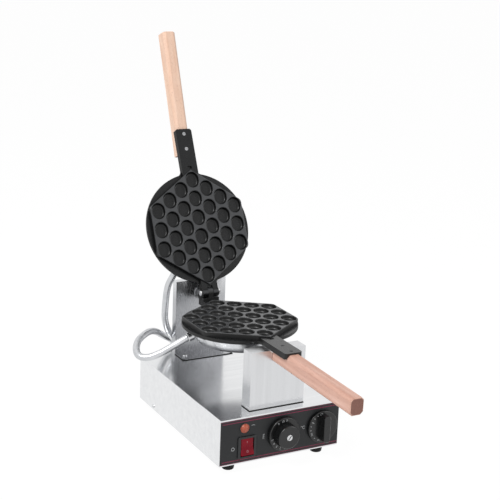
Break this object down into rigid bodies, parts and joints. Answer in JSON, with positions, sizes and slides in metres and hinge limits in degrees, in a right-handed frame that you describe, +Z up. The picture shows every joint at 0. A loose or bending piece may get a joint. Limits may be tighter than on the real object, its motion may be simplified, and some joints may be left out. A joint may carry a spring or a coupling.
{
  "type": "bubble waffle maker",
  "caption": "Electric bubble waffle maker: two hinged cast irons with wooden handles turn on a post over a stainless base with a timer, a thermostat and a switch.",
  "frame": {"origin": "on the table, in the plane of the four rubber feet, under the middle of the whole open machine, which is 21.7 mm in front of the middle of the base case", "axes": "+X to the right as seen from the front, -Y towards the user and the lower handle, +Z up"},
  "size_m": [0.2855, 0.6944, 0.6552],
  "materials": {
    "stainless": "brushed, bright",
    "cover_steel": "spun and polished",
    "cast": "seasoned black with a grey grain on the raised webs",
    "beech": "sanded, bare",
    "overlay": "satin black print with dark red lines",
    "rubber": "matte",
    "knob": "semi-gloss black",
    "black_plastic": "matte black",
    "rocker_red": "glossy translucent red",
    "lens": "translucent orange",
    "bright_steel": "bright plated",
    "dark_screw": "blackened",
    "machined": "turned",
    "sheath": "heat-darkened",
    "wool": "ceramic fibre",
    "ceramic": "glazed white",
    "conduit": "silver braided metal"
  },
  "bodies": {
    "base": {"base_case": "stainless", "bottom_plate": "stainless", "case_side_screws": "bright_steel", "conduit_lock_nuts": "machined", "control_screws": "bright_steel", "foot_screws": "bright_steel", "front_panel": "stainless", "front_rest": "stainless", "front_rest_screws": "bright_steel", "indicator_lamp": "ceramic", "indicator_lens": "lens", "lower_conduit": "conduit", "lower_conduit_elbow": "black_plastic", "mains_gland": "black_plastic", "panel_overlay": "overlay", "rear_post": "stainless", "rear_post_screws": "bright_steel", "rubber_feet": "rubber", "shaft_bush": "machined", "shaft_housing": "machined", "shaft_housing_studs": "bright_steel", "switch_housing": "black_plastic", "terminal_block": "ceramic", "thermostat_body": "black_plastic", "timer_body": "machined", "upper_conduit_elbow": "black_plastic", "upper_conduit_tail": "conduit"},
    "lower_iron": {"lower_iron": "cast", "lower_heater_cover": "cover_steel", "lower_cover_screws": "bright_steel", "lower_heater": "sheath", "lower_heater_wool": "wool", "lower_handle": "beech", "lower_handle_screws": "dark_screw", "lower_conduit_ferrule": "machined", "thermostat_bulb": "machined", "hinge_pin": "bright_steel", "hinge_pin_nut": "bright_steel", "turning_shaft": "machined", "shaft_washer": "bright_steel", "shaft_nut": "bright_steel", "upper_conduit": "conduit"},
    "upper_iron": {"upper_iron": "cast", "upper_heater_cover": "cover_steel", "upper_cover_screws": "bright_steel", "upper_heater": "sheath", "upper_heater_wool": "wool", "upper_handle": "beech", "upper_handle_screws": "bright_steel", "upper_conduit_ferrule": "machined"},
    "timer_dial": {"timer_knob": "knob", "timer_knob_cap": "bright_steel", "timer_shaft": "machined"},
    "thermostat_dial": {"temperature_dial": "knob", "thermostat_shaft": "machined"},
    "rocker": {"power_rocker": "rocker_red"}
  },
  "joints": [
    {"name": "pair_flip", "type": "hinge", "parent": "base", "child": "lower_iron", "pos_m": [0, 0.1317, 0.206], "axis": [0, 1, 0], "range_deg": [-20, 20], "deforming": ["lower_conduit", "upper_conduit_tail"]},
    {"name": "lid_hinge", "type": "hinge", "parent": "lower_iron", "child": "upper_iron", "pos_m": [0, 0.1322, 0.2155], "axis": [1, 0, 0], "range_deg": [0, 115.3], "deforming": ["upper_conduit"]},
    {"name": "timer_turn", "type": "hinge", "parent": "base", "child": "timer_dial", "pos_m": [0.0045, -0.1363, 0.05425], "axis": [0, 1, 0], "range_deg": [0, 300]},
    {"name": "thermostat_turn", "type": "hinge", "parent": "base", "child": "thermostat_dial", "pos_m": [0.0775, -0.1363, 0.05425], "axis": [0, 1, 0], "range_deg": [0, 300]},
    {"name": "power_switch", "type": "hinge", "parent": "base", "child": "rocker", "pos_m": [-0.062, -0.1306, 0.04225], "axis": [1, 0, 0], "range_deg": [0, 16]}
  ]
}
